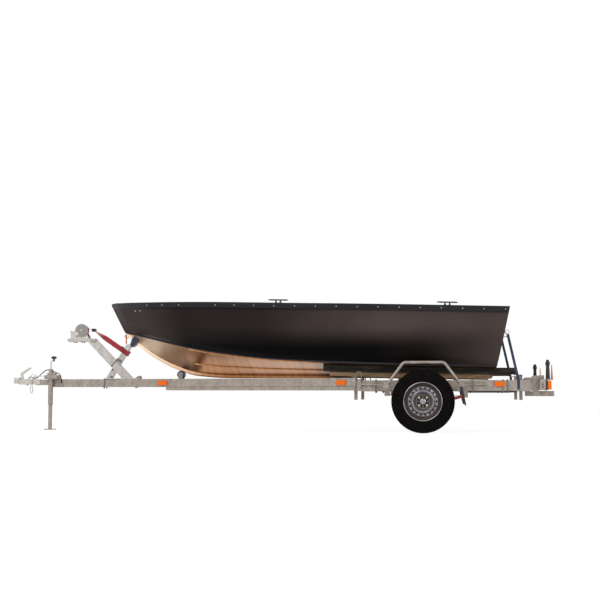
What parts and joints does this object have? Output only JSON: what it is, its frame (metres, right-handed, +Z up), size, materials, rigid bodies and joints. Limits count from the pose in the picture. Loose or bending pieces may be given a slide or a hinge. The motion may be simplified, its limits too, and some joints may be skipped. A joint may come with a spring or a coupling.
{
  "type": "open aluminium boat on a road trailer",
  "caption": "Open aluminium boat with dark sides and a bare bottom, strapped on bunks of a galvanised single-axle road trailer that stands on its wheels and its front jack.",
  "frame": {"origin": "on the ground under the middle of the whole length and width", "axes": "+X from the trailer's coupling to its tail, +Y to the boat's right side seen from the stern looking aft, +Z up"},
  "size_m": [5.36, 1.6852, 1.2681],
  "materials": {
    "black_paint": "satin near-black paint",
    "rail_paint": "satin near-black coating",
    "bare_aluminium": "mill finish",
    "inner_aluminium": "mill finish",
    "marine_ply": "varnished ply",
    "black_plastic": "matt black",
    "white_plastic": "white",
    "steel_fitting": "stainless",
    "galvanised": "hot-dip galvanised",
    "zinc": "zinc plated",
    "bunk_carpet": "black carpet on timber",
    "blue_rubber": "blue polyurethane",
    "navy_rubber": "navy rubber",
    "black_rubber": "black rubber",
    "red_spring": "red paint",
    "tyre": "black",
    "rim_silver": "silver paint",
    "hub_zinc": "zinc plated",
    "red_webbing": "red webbing",
    "navy_webbing": "navy webbing",
    "orange_hook": "orange",
    "black_cable": "black sheath",
    "amber_lens": "amber lens",
    "lamp_lens": "red and amber lens",
    "red_reflector": "red reflector"
  },
  "bodies": {
    "boat_and_trailer": {"axle": "galvanised", "benches": "inner_aluminium", "bottom_strakes": "bare_aluminium", "bow_deck": "inner_aluminium", "bow_eye": "steel_fitting", "bow_stop": "navy_rubber", "bunk_left": "bunk_carpet", "bunk_posts": "galvanised", "bunk_right": "bunk_carpet", "cleats": "black_plastic", "coupling": "zinc", "coupling_lever": "zinc", "cross_beams": "galvanised", "drain_plug": "white_plastic", "drawbar": "galvanised", "floor": "inner_aluminium", "gunwale_corners": "rail_paint", "gunwales": "rail_paint", "hull_bottom_left": "bare_aluminium", "hull_bottom_right": "bare_aluminium", "hull_side_left": "black_paint", "hull_side_right": "black_paint", "jack_tube": "galvanised", "keel_bar": "bare_aluminium", "keel_roller": "blue_rubber", "lamp_bar": "galvanised", "lead_plug": "black_plastic", "leaf_springs": "red_spring", "motor_board": "marine_ply", "mudflaps": "black_rubber", "ribs": "inner_aluminium", "roller_bracket": "galvanised", "side_markers": "amber_lens", "side_rails": "galvanised", "spring_mounts": "galvanised", "stalk_lamps": "black_rubber", "stem": "black_paint", "strap_hook": "orange_hook", "stub_bars": "galvanised", "tail_lamps": "lamp_lens", "tie_straps": "navy_webbing", "trailer_lead": "black_cable", "transom": "black_paint", "transom_eyes": "steel_fitting", "triangles": "red_reflector", "under_tubes": "galvanised", "v_arms": "galvanised", "wheel_guards": "galvanised", "winch_drum": "zinc", "winch_frame": "zinc", "winch_stand": "galvanised", "winch_strap": "red_webbing"},
    "wheel_left": {"tyre_left": "tyre", "rim_left": "rim_silver", "hub_left": "hub_zinc"},
    "wheel_right": {"tyre_right": "tyre", "rim_right": "rim_silver", "hub_right": "hub_zinc"},
    "jack_leg_body": {"jack_leg": "galvanised"}
  },
  "joints": [
    {"name": "wheel_left_spin", "type": "hinge", "parent": "boat_and_trailer", "child": "wheel_left", "pos_m": [1.491, -0.765, 0.289], "axis": [0, 1, 0], "continuous": true},
    {"name": "wheel_right_spin", "type": "hinge", "parent": "boat_and_trailer", "child": "wheel_right", "pos_m": [1.491, 0.765, 0.289], "axis": [0, 1, 0], "continuous": true},
    {"name": "jack_slide", "type": "slide", "parent": "boat_and_trailer", "child": "jack_leg_body", "axis": [0, 0, 1], "range_m": [0, 0.2]}
  ]
}
